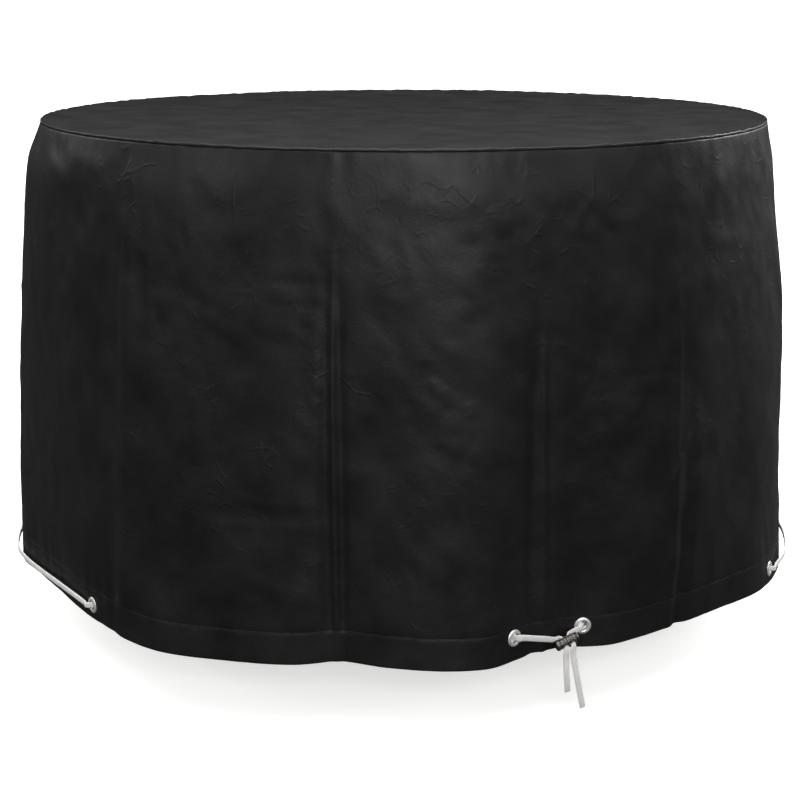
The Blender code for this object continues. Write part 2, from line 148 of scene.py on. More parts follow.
coverShape = {
    "seamDepth": 0.0028,
    "seamAllowance": 0.009,
    "rimRounding": 0.0022,
    "shadowGap": 0.0003,
    "shoulderDepth": 0.070,
    "waistDepth": 0.300,
    "skirtDepth": 0.560,
    "wanderLength": 0.9,  # a fold drifts to both sides once in this depth
    "meanRadius": 0.60,
    "waveStretch": (0.7, 1.4),
    "sections": [
        # azimuth, then in mm: radius at the rim, shoulder, waist, skirt and hem, depth of the hem's edge
        (-170, 563, 574, 584, 590, 591, 694),
        (-154, 563, 577, 597, 612, 619, 697),
        (-138, 564, 576, 589, 595, 594, 694),
        (-122, 567, 582, 601, 614, 618, 697),
        (-106, 570, 588, 604, 609, 603, 692),
        (-92, 571, 592, 610, 620, 618, 690),
        (-78, 571, 593, 614, 627, 629, 692),
        (-68, 569, 588, 606, 615, 610, 690),
        (-58, 567, 584, 601, 610, 606, 690),
        (-46, 566, 582, 604, 620, 619, 692),
        (-34, 565, 580, 605, 624, 637, 695),
        (-24, 564, 577, 599, 614, 623, 695),
        (-15, 564, 575, 591, 600, 606, 695),
        (-9, 564, 573, 583, 584, 583, 694),
        (-3, 564, 573, 584, 590, 597, 695),
        (5, 564, 575, 590, 600, 609, 696),
        (10.5, 564, 575, 589, 600, 607, 696),
        (14.5, 563, 573, 581, 584, 587, 695),
        (18.5, 563, 571, 574, 570, 569, 694),
        (22.5, 563, 571, 575, 570, 560, 696),
        (28.5, 563, 571, 578, 577, 579, 696.5),
        (34, 562, 571, 583, 586, 580, 696),
        (42, 562, 571, 586, 588, 579, 695),
        (52, 561, 570, 585, 588, 587, 695),
        (62, 560, 568, 590, 601, 607, 695),
        (76, 560, 569, 596, 603, 611, 697),
        (90, 561, 572, 592, 600, 605, 696),
        (106, 562, 574, 588, 592, 590, 694),
        (122, 562, 576, 596, 609, 614, 697),
        (138, 562, 577, 600, 617, 624, 698),
        (154, 563, 575, 588, 596, 598, 694),
        (172, 563, 576, 594, 608, 613, 697),
    ],
    "hemFade": (0.062, 0.038),  # heights over the hem's edge between which a fold flattens
    "folds": [
        # azimuth, half width, height, depth where it starts and is full, wander, share in the hem
        (-42.2, 1.20, -0.0026, 0.08, 0.20, 0.4, 0.4),
        (-39.7, 1.70, 0.0046, 0.06, 0.18, 0.4, 0.4),
        (-10.7, 0.75, -0.0036, 0.10, 0.34, 0.2, 0.3),
        (-9.75, 0.40, 0.0024, 0.10, 0.34, 0.2, 0.3),
        (-8.85, 0.65, -0.0036, 0.10, 0.34, 0.2, 0.3),
        (17.2, 0.85, -0.0036, 0.20, 0.36, -0.4, 1.0),
        (18.7, 0.50, 0.0028, 0.20, 0.36, -0.4, 1.0),
        (20.1, 1.50, 0.0022, 0.20, 0.40, -0.4, 0.6),
        (39.9, 0.90, 0.0030, 0.15, 0.35, 0.4, 0.6),
        (42.2, 1.10, -0.0060, 0.25, 0.60, 0.4, 1.0),
        (88.0, 1.50, -0.0045, 0.10, 0.30, 0.8, 1.0),
        (131.0, 1.50, -0.0050, 0.12, 0.35, 0.8, 1.0),
        (-158.0, 1.50, -0.0050, 0.10, 0.30, 0.8, 1.0),
        (-114.0, 1.40, -0.0045, 0.12, 0.34, 0.8, 1.0),
    ],
}


def smoothCurve(places, values, x):
    # a smooth curve through (places, values), read at every x
    last = len(places) - 1

    def slope(k):
        before, after = max(k - 1, 0), min(k + 1, last)
        return (values[after] - values[before]) / (places[after] - places[before])

    read = np.zeros(np.shape(x))
    for i in range(last):
        span = places[i + 1] - places[i]
        t = np.clip((x - places[i]) / span, 0, 1)
        rise = values[i + 1] - values[i]
        a = slope(i) * span - rise
        b = rise - slope(i + 1) * span
        piece = values[i] + t * rise + t * (1 - t) * ((1 - t) * a + t * b)
        read = np.where((x > places[i]) | (i == 0), piece, read)
    return read


def eased(start, end, x):
    t = np.clip((x - start) / (end - start), 0, 1)
    return t * t * (3 - 2 * t)


def turnBetween(a, b):
    return (a - b + 180) % 360 - 180  # degrees from b to a


def sectionAt(azimuth):
    # rim, shoulder, waist, skirt and hem radius, and the depth of the hem's edge
    rows = coverShape["sections"]
    rows = [(r[0] - 360, *r[1:]) for r in rows[-2:]] + rows + [(r[0] + 360, *r[1:]) for r in rows[:2]]
    places = [row[0] for row in rows]
    x = turnBetween(azimuth, 0.0)
    return [smoothCurve(places, [row[k] / 1000 for row in rows], x) for k in range(1, 7)]


def foldedRadius(azimuth, depth):
    # the wall's outer face with the folds of its solid
    rim, shoulder, waist, skirt, hem, lowest = sectionAt(azimuth)
    places = [coverShape[key] for key in ("seamDepth", "shoulderDepth", "waistDepth", "skirtDepth")]
    radius = smoothCurve(places + [lowest], [rim, shoulder, waist, skirt, hem], depth)
    fadeFrom, fadeTo = coverShape["hemFade"]
    inHem = eased(fadeFrom, fadeTo, lowest - depth)
    for middle, halfWidth, height, start, full, wander, kept in coverShape["folds"]:
        drift = wander * np.sin(2 * math.pi * depth / coverShape["wanderLength"] + middle)
        share = turnBetween(azimuth, middle + drift) / halfWidth
        strength = eased(start, full, depth) * (1 - (1 - kept) * inHem)
        radius = radius + height * strength * np.exp(-share * share)
    return radius


def place(azimuth, radius, z):
    # azimuth 0 is the front, and it grows to the right
    turn = np.radians(azimuth)
    return np.stack(np.broadcast_arrays(radius * np.sin(turn), -radius * np.cos(turn), z), axis=-1)


def unit(v):
    return v / np.linalg.norm(v, axis=-1, keepdims=True)


def eyeletFrame(name):
    # middle on the cloth's outer face, the way out, along the hem and up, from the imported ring
    corners = np.array([v.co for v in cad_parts[name].data.vertices])
    middle = corners.mean(0)
    outwards = np.linalg.svd(corners - middle)[2][-1]
    if outwards[:2] @ middle[:2] < 0:
        outwards = -outwards
    front = ((corners - middle) @ outwards).max() - eyelet["crown"] - coverShape["shadowGap"]
    along = unit(np.cross((0.0, 0.0, 1.0), outwards))
    return middle + outwards * front, outwards, along, np.cross(outwards, along)


eyelet = {
    "count": 8,
    "radius": 0.0121,
    "bore": 0.0070,
    "barrel": 0.0077,
    "crown": 0.0020,  # how far the front flange stands up
    "washer": 0.0108,
    "washerCrown": 0.0012,
    "hemThickness": 0.0024,
    "steps": 48,
    "weld": 0.000005,
    "smoothUpTo": 40.0,
    "clothHole": 0.0086,
    "nearBy": 0.02,  # cloth this far in front or behind is another side of the cover
    "pressedTo": 0.014,  # the hem is flat this far round each eyelet
    "freeFrom": 0.034,
}
eyeletFrames = [eyeletFrame(f"eyelet_{n + 1}") for n in range(eyelet["count"])]
eyeletAzimuths = [math.degrees(math.atan2(f[0][0], -f[0][1])) for f in eyeletFrames]


# Drawcord: a flat braid that goes in and out of the eyelets, and through the lock at both ends

lockFrame = {
    "centre": (0.2196, -0.5367, -0.6791),
    "tilt": 18.0,  # its right end is higher
    "turn": 21.6,
    "holeOffset": 0.0055,
    "holeSlant": 45.0,  # the holes run from the back's upper side to the front's lower side
}
lockMatrix = (
    Matrix.Translation(lockFrame["centre"])
    @ Matrix.Rotation(math.radians(lockFrame["turn"]), 4, "Z")
    @ Matrix.Rotation(math.radians(-lockFrame["tilt"]), 4, "Y")
)

drawcord = {
    "width": 0.0084,
    "tailWidth": 0.0091,
    "thickness": 0.0030,
    "tailThickness": 0.0026,
    "lockWidth": 0.0070,
    "pinched": 0.0046,  # the right end comes into the lock edge on
    "narrowing": (0.010, 0.020),  # both ends narrow to the lock's width from here to there
    "pinching": (0.010, 0.026),
    "waves": 14,  # a braid is never quite even
    "seed": 5,
    "waveLengths": (0.03, 0.25),
    "wavePhases": (0, 6.28),
    "waveHeight": 0.00012,
    "ringSpacing": 0.0024,
    "routeSteps": 40,
    "sides": 14,
    "leanUp": 0.35,  # keeps the wide side upright
    "squareness": (0.55, 0.75),  # across and through, 1 is round
    "eyeletStep": 1.45,  # degrees to each side that set the cloth's slope
    "eyeletRise": 0.0115,
    "crossing": [
        # along the wall, off its outer face
        (-0.0170, 0.0052),
        (-0.0085, 0.0076),
        (-0.0038, 0.0060),
        (0.0000, -0.0012),
        (0.0038, -0.0086),
        (0.0085, -0.0106),
        (0.0170, -0.0085),
    ],
    "stretches": [
        # azimuth, then in mm: off the wall's outer face, height above the hem's edge
        (35, -16, 24),
        (46, -22, 21),
        (57, -16, 20),
        (74, 10.5, 26),
        (84, 9.5, 29),
        (94, 9, 30),
        (106, 8, 28),
        (125, -20, 22),
        (140, -30, 20),
        (155, -18, 23),
        (174, 8.5, 23),
        (184, 8.5, 19),
        (195, 8.5, 19),
        (205, 9.5, 23),
        (224, -18, 23),
        (239, -25, 20),
        (254, -18, 23),
        (273, 8.5, 24),
        (282, 7, 19),
        (288, 6.5, 14),
        (296, 6.5, 16),
        (304, 7, 21),
        (322, -22, 22),
        (337, -38, 20),
        (351, -30, 22),
        (364, -24, 28),
    ],
    # behind the lock and over into its holes: along the barrel, out from the cloth, up across it
    "leftLead": [
        (-0.0360, -0.0020, 0.0206),
        (-0.0237, -0.0062, 0.0123),
        (-0.0165, -0.0088, 0.0070),
        (-0.0110, -0.0096, 0.0045),
        (-0.0072, -0.0094, 0.0046),
    ],
    "rightLead": [
        (0.0224, -0.0078, 0.0047),
        (0.0145, -0.0088, 0.0050),
        (0.0085, -0.0094, 0.0046),
    ],
    "mouth": 0.0060,  # of the holes, from the barrel's middle
    "straight": 0.0085,
    "leftTail": [(0.2181, -0.5432, -0.7030), (0.2199, -0.5425, -0.7290), (0.2217, -0.5395, -0.7530)],
    "rightTail": [(0.2286, -0.5390, -0.6985), (0.2359, -0.5365, -0.7380), (0.2442, -0.5310, -0.7798)],
    "tailSpacing": 0.0015,
    "tailNarrowing": (0.008, 0.016),
    "crimp": (0.004, 0.0065),  # the last millimetres are pressed a little wider and thinner
    "tip": (0.0, 0.0012),
    "crimpGrows": (0.05, -0.35),  # in width and in thickness
    "tipGrows": (-0.16, -0.25),
    "length": 3.95,
    "leftTailLength": 0.072,
    "rightTailLength": 0.101,
    "yarnLane": 0.00105,
    "yarnPitch": 0.0017,
    "laneRise": 0.9,
    "soil": 0.12,
}


def offWall(azimuth, off, aboveHem):
    def onWall(azimuth, aboveHem):
        depth = sectionAt(azimuth)[5] - aboveHem
        return place(azimuth, foldedRadius(azimuth, depth), -depth)

    step, rise = drawcord["eyeletStep"], drawcord["eyeletRise"]
    along = onWall(azimuth + step, aboveHem) - onWall(azimuth - step, aboveHem)
    up = onWall(azimuth, aboveHem + rise) - onWall(azimuth, aboveHem - rise)
    return onWall(azimuth, aboveHem) + off * unit(np.cross(along, up))


def atLock(points):
    return [np.array(lockMatrix @ Vector((along, -out, up))) for along, out, up in points]


def lockHole(side):
    slant = Matrix.Rotation(math.radians(-lockFrame["holeSlant"]), 4, "X")
    return Matrix.Translation((side * lockFrame["holeOffset"], 0, 0)) @ slant


def downLock(side, *heights):
    return [np.array(lockMatrix @ lockHole(side) @ Vector((0, 0, height))) for height in heights]


def loopRoute():
    # from the lock's right hole, round through all eyelets, to its left hole
    mouth = drawcord["mouth"]
    points = downLock(1, 0, mouth) + atLock(drawcord["rightLead"][::-1])
    order = list(range(1, eyelet["count"])) + [0]
    azimuths = [eyeletAzimuths[n] % 360 for n in order[:-1]] + [eyeletAzimuths[0] + 360]
    into = 1
    for n, start, end in zip(order, azimuths, azimuths[1:] + azimuths[-1:]):
        middle, outwards, along, up = eyeletFrames[n]
        passing = [middle + along * (into * s) + outwards * off for s, off in drawcord["crossing"]][::into]
        # the two front ends turn off to the lock as soon as they are out of their eyelets
        points += passing[2:] if n == 1 else passing[:-1] if n == 0 else passing
        stretch = [row for row in drawcord["stretches"] if start < row[0] < end]
        points += [offWall(azimuth, off / 1000, high / 1000) for azimuth, off, high in stretch]
        into = -into
    return points + atLock(drawcord["leftLead"]) + downLock(-1, mouth, 0)


def curveThrough(points, spacing):
    # even, close points on a smooth curve through the route's own points
    points = np.array(points)
    steps = np.sqrt(np.linalg.norm(np.diff(points, axis=0), axis=1))
    reach = np.concatenate([[0], np.cumsum(steps)])
    spans = [np.linspace(a, b, drawcord["routeSteps"], endpoint=False) for a, b in zip(reach, reach[1:])]
    fine = np.concatenate(spans + [reach[-1:]])
    dense = np.stack([smoothCurve(reach, points[:, k], fine) for k in range(3)], axis=-1)
    gone = np.concatenate([[0], np.cumsum(np.linalg.norm(np.diff(dense, axis=0), axis=1))])
    even = np.linspace(0, gone[-1], max(round(gone[-1] / spacing), 8) + 1)
    return np.stack([np.interp(even, gone, dense[:, k]) for k in range(3)], axis=-1), even


def addBraid(name, points, reach, width, thickness, material):
    # a flat tube along the points, its flat side held to the cloth, mapped in metres
    tangent = unit(np.gradient(points, axis=0))
    outwards = unit(points * (1.0, 1.0, 0.0))
    wide = np.cross(outwards, tangent) + (0.0, 0.0, drawcord["leanUp"])
    wide = unit(wide - tangent * (wide * tangent).sum(1, keepdims=True))
    thin = np.cross(tangent, wide)
    turn = np.linspace(0, 2 * math.pi, drawcord["sides"], endpoint=False)
    across, deep = (
        np.sign(wave) * np.abs(wave) ** power / 2
        for wave, power in zip((np.cos(turn), np.sin(turn)), drawcord["squareness"])
    )
    rings = (
        points[:, None]
        + wide[:, None] * (across * width[:, None])[..., None]
        + thin[:, None] * (deep * thickness[:, None])[..., None]
    )
    count, sides = rings.shape[:2]
    index = np.arange(count * sides).reshape(count, sides)
    after = np.roll(index, -1, axis=1)
    quads = np.stack([index[:-1], after[:-1], after[1:], index[1:]], axis=-1).reshape(-1, 4)
    ends = [index[0][::-1].tolist(), index[-1].tolist()]
    mesh = bpy.data.meshes.new(name)
    mesh.from_pydata(rings.reshape(-1, 3).tolist(), [], quads.tolist() + ends)
    layer = mesh.uv_layers.new(name="braidMetres")
    flat = np.stack([np.repeat(reach, sides), np.tile(across, count) * np.repeat(width, sides)], axis=-1)
    corners = np.zeros(len(mesh.loops), dtype=int)
    mesh.loops.foreach_get("vertex_index", corners)
    layer.data.foreach_set("uv", flat[corners].reshape(-1))
    mesh.shade_smooth()
    piece = addPiece(name, mesh, material)
    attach(piece, "root")
    return piece


def braidMaterial():
    # polyester flat braid: yarns 1 mm thick plaited in chevrons, matt, white with a warm cast
    material, tree, inputs = startMaterial(
        "polyester flat braid",
        {"Roughness": 0.82, "Specular IOR Level": 0.3, "Sheen Weight": 0.12, "Sheen Roughness": 0.5},
    )
    uv = addNode(tree, "UVMap", {"uv_map": "braidMetres"})
    split = addNode(tree, "SeparateXYZ", {0: uv.outputs[0]})
    lane = maths(tree, "DIVIDE", split.outputs[1], drawcord["yarnLane"])
    zigzag = maths(tree, "PINGPONG", lane, 1.0)
    slant = maths(tree, "ADD", maths(tree, "DIVIDE", split.outputs[0], drawcord["yarnPitch"]), zigzag)
    yarn = maths(tree, "SINE", maths(tree, "MULTIPLY", slant, 2 * math.pi))
    rib = maths(tree, "COSINE", maths(tree, "MULTIPLY", lane, math.pi))
    height = maths(tree, "ADD", yarn, maths(tree, "MULTIPLY", rib, drawcord["laneRise"]))
    spot = objectPlace(tree)
    fuzz = noise(tree, spot, 900.0, 3.0, 0.7)
    # painted shade: the colour darkens down between the yarns and pales on their raised tops
    lit = mapped(tree, height, -1.9, 1.4, 0.0, 1.0)
    clean = mixed(tree, lit, linearColour("#d0cdcb"), linearColour("#f6f4f2"))
    soiled = mixed(tree, drawcord["soil"], clean, noise(tree, spot, 60.0, 4.0), "MULTIPLY")
    relief = bumped(tree, (0.55, 0.00035, height), (0.35, 0.0003, fuzz))
    plug(tree, inputs, {"Base Color": soiled, "Normal": relief})
    return material


def addDrawcord():
    material = braidMaterial()
    points, reach = curveThrough(loopRoute(), drawcord["ringSpacing"])
    nearEnd = np.minimum(reach, reach[-1] - reach)
    inLock = 1 - eased(*drawcord["narrowing"], nearEnd)
    width = drawcord["width"] + (drawcord["lockWidth"] - drawcord["width"]) * inLock
    pinch = 1 - eased(*drawcord["pinching"], reach)
    width = width + (drawcord["pinched"] - width) * pinch
    dice = np.random.default_rng(drawcord["seed"])
    for _ in range(drawcord["waves"]):
        wave = 2 * math.pi / dice.uniform(*drawcord["waveLengths"])
        swell = np.sin(wave * reach + dice.uniform(*drawcord["wavePhases"]))
        width = width + drawcord["waveHeight"] * swell * (1 - inLock)
    thickness = np.full(len(reach), drawcord["thickness"])
    loop = addBraid("cordLoop", points, reach, width, thickness, material)
    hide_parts("drawcord")
    print("drawcord", round(float(reach[-1]), 3), "m round the hem")
    for side, name in ((-1, "leftTail"), (1, "rightTail")):
        route = downLock(side, 0, -drawcord["straight"]) + [np.array(row) for row in drawcord[name]]
        tailPoints, tailReach = curveThrough(route, drawcord["tailSpacing"])
        left = tailReach[-1] - tailReach
        crimp = 1 - eased(*drawcord["crimp"], left)
        tip = 1 - eased(*drawcord["tip"], left)
        grows = zip(drawcord["crimpGrows"], drawcord["tipGrows"])
        wider, thicker = (1 + atCrimp * crimp + atTip * tip for atCrimp, atTip in grows)
        inLock = 1 - eased(*drawcord["tailNarrowing"], tailReach)
        tailWidth = drawcord["tailWidth"] + (drawcord["lockWidth"] - drawcord["tailWidth"]) * inLock
        tailWidth = tailWidth * wider
        tailThickness = drawcord["tailThickness"] * thicker
        tail = addBraid(name, tailPoints, tailReach, tailWidth, tailThickness, material)
        print(name, round(float(tailReach[-1]), 4), "m below the lock")
    addCordLock()


# Cord lock: a cast barrel with a flanged end, a ring of grip pads and two cord holes

cordLock = {
    "length": 0.033,
    "radius": 0.0067,
    "sides": 48,
    "cuts": [
        # along the barrel from its flanged end
        -0.0165, -0.0132, -0.0120, -0.0108, -0.0068, -0.0061, -0.0021, -0.0014,
        0.0026, 0.0033, 0.0073, 0.0080, 0.0120, 0.0134, 0.0148,
    ],
    "flange": 0.0010,
    "groove": -0.0008,
    "endSlope": 0.5,  # faces more end-on than this aren't the barrel's round side
    "pad": 0.0007,
    "padRows": range(3, 12, 2),  # the cuts where a row of pads starts
    "padSides": 3,  # faces wide, then one left plain
    "holeRadius": 0.0040,
    "holeSides": 32,
    "drillLength": 0.03,
    "bevel": 0.00022,
    "bevelFrom": 32.0,  # degrees
    "smoothUpTo": 35.0,
}


def raiseRing(piece, start, end, height, wanted=None):
    # the faces round the barrel from start to end, or the wanted ones of them, raised by height
    bpy.ops.object.mode_set(mode="OBJECT")
    for element in [*piece.data.vertices, *piece.data.edges]:
        element.select = False
    for face in piece.data.polygons:
        inRing = start < face.center.x < end and abs(face.normal.x) < cordLock["endSlope"]
        face.select = bool(inRing and (wanted is None or wanted(face)))
    bpy.ops.object.mode_set(mode="EDIT")
    bpy.ops.mesh.select_mode(type="FACE")
    bpy.ops.mesh.extrude_region_shrink_fatten(TRANSFORM_OT_shrink_fatten={"value": height})


def raisePads(piece, row, start, end):
    # each row of pads is turned by two faces against the last one
    def onPad(face):
        angle = math.degrees(math.atan2(face.center.y, face.center.z)) % 360
        return (int(angle * cordLock["sides"] / 360) + 2 * row) % (cordLock["padSides"] + 1)

    raiseRing(piece, start, end, cordLock["pad"], onPad)


def lockMaterial():
    # die-cast zinc with a gunmetal plating: a dark metal, paler in patches on its sharp raised edges
    material, tree, inputs = startMaterial(
        "gunmetal plated zinc", {"Metallic": 0.9, "Specular IOR Level": 0.5}
    )
    spot = objectPlace(tree)
    grain = noise(tree, spot, 700.0, 4.0)
    edges = addNode(tree, "NewGeometry", {}).outputs["Pointiness"]
    # paler where the edges are sharp, broken into patches
    onSharpEdges = mapped(tree, edges, 0.50, 0.60, 0.0, 1.0)
    paleEdgePatches = maths(tree, "MULTIPLY", onSharpEdges, noise(tree, spot, 260.0, 3.0))
    looks = {
        "Base Color": mixed(tree, paleEdgePatches, linearColour("#3b3937"), linearColour("#c4bfb9")),
        "Roughness": mapped(tree, grain, 0.0, 1.0, 0.28, 0.48),
        "Normal": bumped(tree, (0.3, 0.00015, grain)),
    }
    plug(tree, inputs, looks)
    return material


def addCordLock():
    bpy.ops.object.select_all(action="DESELECT")
    bpy.ops.mesh.primitive_cylinder_add(
        vertices=cordLock["sides"],
        radius=cordLock["radius"],
        depth=cordLock["length"],
        rotation=(0, math.radians(90), 0),
    )
    lock = bpy.context.object
    lock.name = "cordLock"
    bpy.ops.object.transform_apply(location=True, rotation=True, scale=True)
    bpy.ops.object.mode_set(mode="EDIT")
    cuts = cordLock["cuts"]
    for x in cuts[1:]:
        bpy.ops.mesh.select_all(action="SELECT")
        bpy.ops.mesh.bisect(plane_co=(x, 0, 0), plane_no=(1, 0, 0))
    raiseRing(lock, cuts[0], cuts[1], cordLock["flange"])
    raiseRing(lock, cuts[1], cuts[2], cordLock["groove"])
    raiseRing(lock, cuts[-2], cuts[-1], cordLock["groove"] / 2)
    for row, cut in enumerate(cordLock["padRows"]):
        raisePads(lock, row, cuts[cut], cuts[cut + 1])
    bpy.ops.object.mode_set(mode="OBJECT")
    bevel = lock.modifiers.new("soft edges", "BEVEL")
    bevel.width = cordLock["bevel"]
    bevel.segments = 2
    bevel.limit_method = "ANGLE"
    bevel.angle_limit = math.radians(cordLock["bevelFrom"])
    bpy.ops.object.modifier_apply(modifier=bevel.name)
    for side in (-1, 1):
        bpy.ops.mesh.primitive_cylinder_add(
            vertices=cordLock["holeSides"],
            radius=cordLock["holeRadius"],
            depth=cordLock["drillLength"],
        )
        drill = bpy.context.object
        drill.matrix_world = lockHole(side)
        hole = lock.modifiers.new("cord hole", "BOOLEAN")
        hole.object = drill
        hole.solver = "EXACT"
        bpy.context.view_layer.objects.active = lock
        bpy.ops.object.modifier_apply(modifier=hole.name)
        bpy.data.objects.remove(drill, do_unlink=True)
    lock.data.transform(lockMatrix)
    bpy.ops.object.select_all(action="DESELECT")
    lock.select_set(True)
    bpy.ops.object.shade_smooth_by_angle(angle=math.radians(cordLock["smoothUpTo"]))
    lock.data.materials.clear()
    lock.data.materials.append(lockMaterial())
    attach(lock, "root")
    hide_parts("cord_lock")
    print("cord lock", len(lock.data.polygons), "faces")


addDrawcord()


# Eyelets: turned two-part rings, the flange pressed down on the hem

def eyeletMaterial():
    # nickel-plated steel, stamped and rolled, with small scuffs; painted reflection: a near-white colour and
    # only part metallic, so the rings show the white their gloss doesn't see in the dimmed room
    material, tree, inputs = startMaterial(
        "nickel plated eyelet", {"Metallic": 0.7, "Base Color": linearColour("#f4f3f0")}
    )
    scuff = noise(tree, objectPlace(tree), 420.0, 5.0)
    rough = mapped(tree, scuff, 0.0, 1.0, 0.24, 0.48)
    plug(tree, inputs, {"Roughness": rough, "Normal": bumped(tree, (0.25, 0.0001, scuff))})
    return material


def addEyelets():
    gap = coverShape["shadowGap"]
    back = -eyelet["hemThickness"] - gap
    radius, bore, barrel, washer, crown, washerCrown = (
        eyelet[key] for key in ("radius", "bore", "barrel", "washer", "crown", "washerCrown")
    )
    section = [
        # radius, height over the cloth, round the ring's cut section
        (bore, back - 0.5 * washerCrown),
        (bore, gap + 0.1 * crown),
        (bore + 0.0002, gap + 0.50 * crown),
        (bore + 0.0008, gap + 0.86 * crown),
        (bore + 0.0018, gap + crown),
        (radius - 0.0026, gap + 0.98 * crown),
        (radius - 0.0011, gap + 0.72 * crown),
        (radius - 0.0002, gap + 0.34 * crown),
        (radius, gap + 0.14 * crown),
        (radius - 0.0003, gap),
        (barrel, gap),
        (barrel, back),
        (washer, back),
        (washer - 0.0004, back - 0.6 * washerCrown),
        (barrel + 0.0014, back - washerCrown),
        (bore + 0.0004, back - 0.9 * washerCrown),
    ]
    material = eyeletMaterial()
    bpy.ops.object.select_all(action="DESELECT")
    bpy.ops.mesh.primitive_circle_add(vertices=len(section), radius=eyelet["radius"], fill_type="NOTHING")
    ring = bpy.context.object
    for corner, (out, height) in zip(ring.data.vertices, section):
        corner.co = (out, 0, height)
    bpy.ops.object.mode_set(mode="EDIT")
    bpy.ops.mesh.select_all(action="SELECT")
    bpy.ops.mesh.spin(steps=eyelet["steps"], angle=2 * math.pi, center=(0, 0, 0), axis=(0, 0, 1))
    bpy.ops.mesh.select_all(action="SELECT")
    bpy.ops.mesh.remove_doubles(threshold=eyelet["weld"])
    bpy.ops.mesh.normals_make_consistent(inside=False)
    bpy.ops.object.mode_set(mode="OBJECT")
    bpy.ops.object.shade_smooth_by_angle(angle=math.radians(eyelet["smoothUpTo"]))
    pattern = ring.data.copy()
    bpy.data.objects.remove(ring, do_unlink=True)
    for n, (middle, outwards, along, up) in enumerate(eyeletFrames):
        mesh = pattern.copy()
        turn = Matrix([[*row] for row in np.column_stack([along, up, outwards])]).to_4x4()
        mesh.transform(Matrix.Translation(middle) @ turn)
        piece = addPiece(f"eyeletRing{n + 1}", mesh, material)
        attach(piece, "root")
        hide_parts(f"eyelet_{n + 1}")
    print("eyelets:", eyelet["count"], "of", len(pattern.polygons), "faces")


addEyelets()


# Tarpaulin of both cloths

tarpaulin = {
    "colour": "#0e0f0f",
    "dustColour": "#1b1b1a",
    # painted light: the paler colour the top panel's front is drawn towards, where it catches more light
    "frontPaintedLightColour": "#333332",
    "tapeWidth": 0.0024,  # a real tape is 1.5 to 2 mm, drawn a little wider to show
    "crumpleSize": 0.022,
    "creaseSize": 0.034,
}


def tarpaulinMaterial(clothName, frontPaintedLight):
    # polyethylene tape woven and laminated on both faces: black, half glossy, full of small creases
    material, tree, inputs = startMaterial(
        "laminated tarpaulin " + clothName, {"Specular IOR Level": 0.34, "IOR": 1.5}
    )
    uv = addNode(tree, "UVMap", {"uv_map": "clothMetres"})
    split = addNode(tree, "SeparateXYZ", {0: uv.outputs[0]})
    turnsPerMetre = math.pi / tarpaulin["tapeWidth"]
    tapes = [maths(tree, "SINE", maths(tree, "MULTIPLY", split.outputs[k], turnsPerMetre)) for k in (0, 1)]
    weave = maths(tree, "MULTIPLY", *tapes)

    # small sharp creases: ridged noise and the edges of facets, pulled about by a slower noise
    spot = objectPlace(tree)
    drift = noise(tree, spot, 0.3 / tarpaulin["creaseSize"], 2.0, output="Color")
    driftBy = addNode(tree, "VectorMath", {"operation": "SCALE", 0: drift, "Scale": 0.09})
    pulled = addNode(tree, "VectorMath", {"operation": "ADD", 0: spot, 1: driftBy.outputs[0]}).outputs[0]
    crumple = noise(tree, pulled, 0.5 / tarpaulin["crumpleSize"], 3.0, 0.55, "RIDGED_MULTIFRACTAL")
    facets = addNode(
        tree,
        "TexVoronoi",
        {"feature": "DISTANCE_TO_EDGE", "Vector": pulled, "Scale": 1 / tarpaulin["creaseSize"]},
    )
    fold = mapped(tree, facets.outputs["Distance"], 0.0, 0.10, 1.0, 0.0, "SMOOTHSTEP")
    broken = mapped(tree, noise(tree, spot, 34.0, 2.0), 0.53, 0.62, 0.0, 1.0)
    much = mapped(tree, noise(tree, spot, 7.0, 2.0), 0.42, 0.66, 0.05, 1.0)
    folds = maths(tree, "MULTIPLY", maths(tree, "MULTIPLY", fold, broken), much)
    fine = noise(tree, spot, 150.0, 3.0, 0.6)
    relief = bumped(
        tree, (0.5, 0.0011, crumple), (0.45, 0.0008, folds), (0.5, 0.0005, fine), (0.25, 0.00006, weave)
    )

    # dust in clouds, and painted light over it: a paler colour towards the front, standing in for the light
    # the top catches there
    dust = noise(tree, spot, 14.0, 6.0, 0.6)
    clean, dusty, pale = (linearColour(tarpaulin[key]) for key in ("colour", "dustColour", "frontPaintedLightColour"))
    clouded = mixed(tree, mapped(tree, dust, 0.35, 0.75, 0.0, 0.7), clean, dusty)
    back = addNode(tree, "SeparateXYZ", {0: spot}).outputs[1]
    looks = {
        "Base Color": mixed(tree, mapped(tree, back, 0.30, -0.56, 0.0, frontPaintedLight), clouded, pale),
        "Roughness": mapped(tree, dust, 0.3, 0.7, 0.40, 0.54),
        "Normal": relief,
    }
    plug(tree, inputs, looks)
    return material


def ripples(azimuth, depth, length, count, seed):
    # a seeded unevenness about this long, near -1 to 1, that closes round the cover
    dice = np.random.default_rng(seed)
    total = 0.0
    for _ in range(count):
        heading, phase = dice.uniform(0, math.pi), dice.uniform(0, 2 * math.pi)
        wave = 2 * math.pi / (length * dice.uniform(*coverShape["waveStretch"]))
        turns = round(wave * math.cos(heading) * coverShape["meanRadius"])
        total = total + np.sin(np.radians(azimuth) * turns + wave * math.sin(heading) * depth + phase)
    return total / math.sqrt(count)


creaseForm = {"overrun": 0.06, "hollow": 0.30, "hollowWidth": 2.6}


